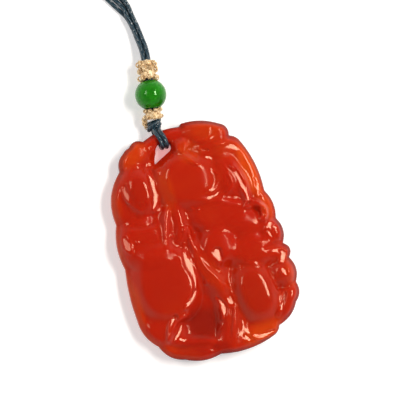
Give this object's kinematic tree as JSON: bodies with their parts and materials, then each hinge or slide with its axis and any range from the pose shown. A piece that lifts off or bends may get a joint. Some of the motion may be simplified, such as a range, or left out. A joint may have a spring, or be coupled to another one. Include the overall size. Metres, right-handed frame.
{
  "type": "carved carnelian plaque pendant on a neck cord",
  "caption": "Carved translucent stone plaque with fruit and vine relief, pierced near its top for a doubled cord with a round bead between gold thread collars.",
  "frame": {"origin": "middle of the plaque's flat back, on the surface that it lies on; the cord, bead and collars are not counted", "axes": "+Z out of the carved front, +Y along the plaque towards its pierced hole, +X to the right seen from the front"},
  "size_m": [0.0428, 0.1196, 0.0088],
  "materials": {
    "carnelian": "polished",
    "green_stone": "polished",
    "gold_thread": "metallic thread",
    "blue_cord": "waxed"
  },
  "bodies": {
    "root": {"carnelian_plaque": "carnelian", "loop_cord_left": "blue_cord", "loop_cord_right": "blue_cord", "cord_knot": "blue_cord", "lower_gold_collar": "gold_thread", "green_bead": "green_stone", "upper_gold_collar": "gold_thread", "neck_cord_1": "blue_cord", "neck_cord_2": "blue_cord", "neck_cord_3": "blue_cord", "neck_cord_4": "blue_cord", "neck_cord_coil": "blue_cord", "end_knot": "blue_cord"}
  },
  "joints": []
}
